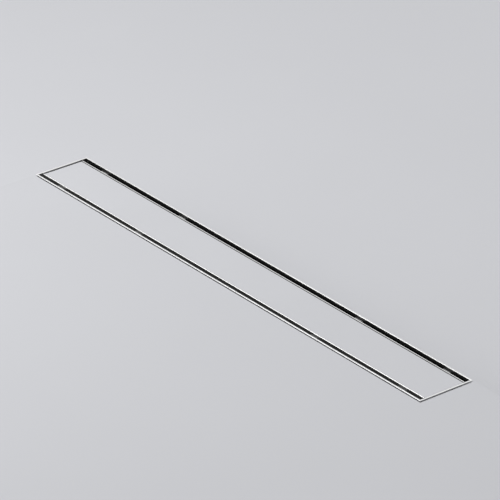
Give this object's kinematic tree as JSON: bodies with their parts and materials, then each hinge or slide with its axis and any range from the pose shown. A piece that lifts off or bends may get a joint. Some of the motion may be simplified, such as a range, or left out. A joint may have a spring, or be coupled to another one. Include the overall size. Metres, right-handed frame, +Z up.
{
  "type": "linear shower drain",
  "caption": "Long narrow shower drain: steel frame, infill cover with a slot along each long side, moulded channel with a cup trap, side outlet and adjustable feet.",
  "frame": {"origin": "centre of the trap's flat base, on the structural slab below the middle of the drain", "axes": "+X along the drain, +Z up, outlet towards -Y"},
  "size_m": [0.754, 0.174, 0.1],
  "materials": {
    "frame_steel": "finely brushed stainless steel, near polished",
    "tray_steel": "finely brushed stainless steel, bright rims",
    "strap_steel": "folded stainless steel strip, satin",
    "bracket_steel": "zinc-plated folded sheet",
    "fastener_steel": "zinc-plated fasteners",
    "clamp_steel": "stainless clamp plate, satin",
    "insert_mineral": "matt light grey mineral slab",
    "channel_plastic": "black moulded plastic, fine grain, sanded flange",
    "trap_plastic": "black moulded plastic, fine grain",
    "seal_plastic": "grey moulded plastic",
    "sieve_plastic": "grey moulded plastic",
    "seal_rubber": "black rubber",
    "foot_plastic": "black moulded plastic"
  },
  "bodies": {
    "root": {"frame": "frame_steel", "cover_tray": "tray_steel", "tile_insert": "insert_mineral", "support_strap_1": "strap_steel", "support_strap_2": "strap_steel", "support_strap_3": "strap_steel", "support_strap_4": "strap_steel", "cover_pads": "seal_rubber", "levelling_bracket_1": "bracket_steel", "levelling_bracket_2": "bracket_steel", "levelling_bracket_3": "bracket_steel", "levelling_bracket_4": "bracket_steel", "levelling_nuts": "fastener_steel", "levelling_screws": "fastener_steel", "channel": "channel_plastic", "clamp_plate": "clamp_steel", "clamp_screws": "fastener_steel", "channel_gasket": "seal_rubber", "trap_body": "trap_plastic", "dip_tube": "seal_plastic", "dip_tube_ring": "seal_rubber", "trap_cup": "seal_plastic", "hair_sieve": "sieve_plastic", "foot_bracket_1": "bracket_steel", "foot_bracket_2": "bracket_steel", "bracket_screws": "fastener_steel", "foot_stud_1": "fastener_steel", "foot_stud_2": "fastener_steel", "foot_stud_3": "fastener_steel", "foot_stud_4": "fastener_steel", "foot_pad_1": "foot_plastic", "foot_pad_2": "foot_plastic", "foot_pad_3": "foot_plastic", "foot_pad_4": "foot_plastic", "foot_nuts": "fastener_steel"}
  },
  "joints": []
}
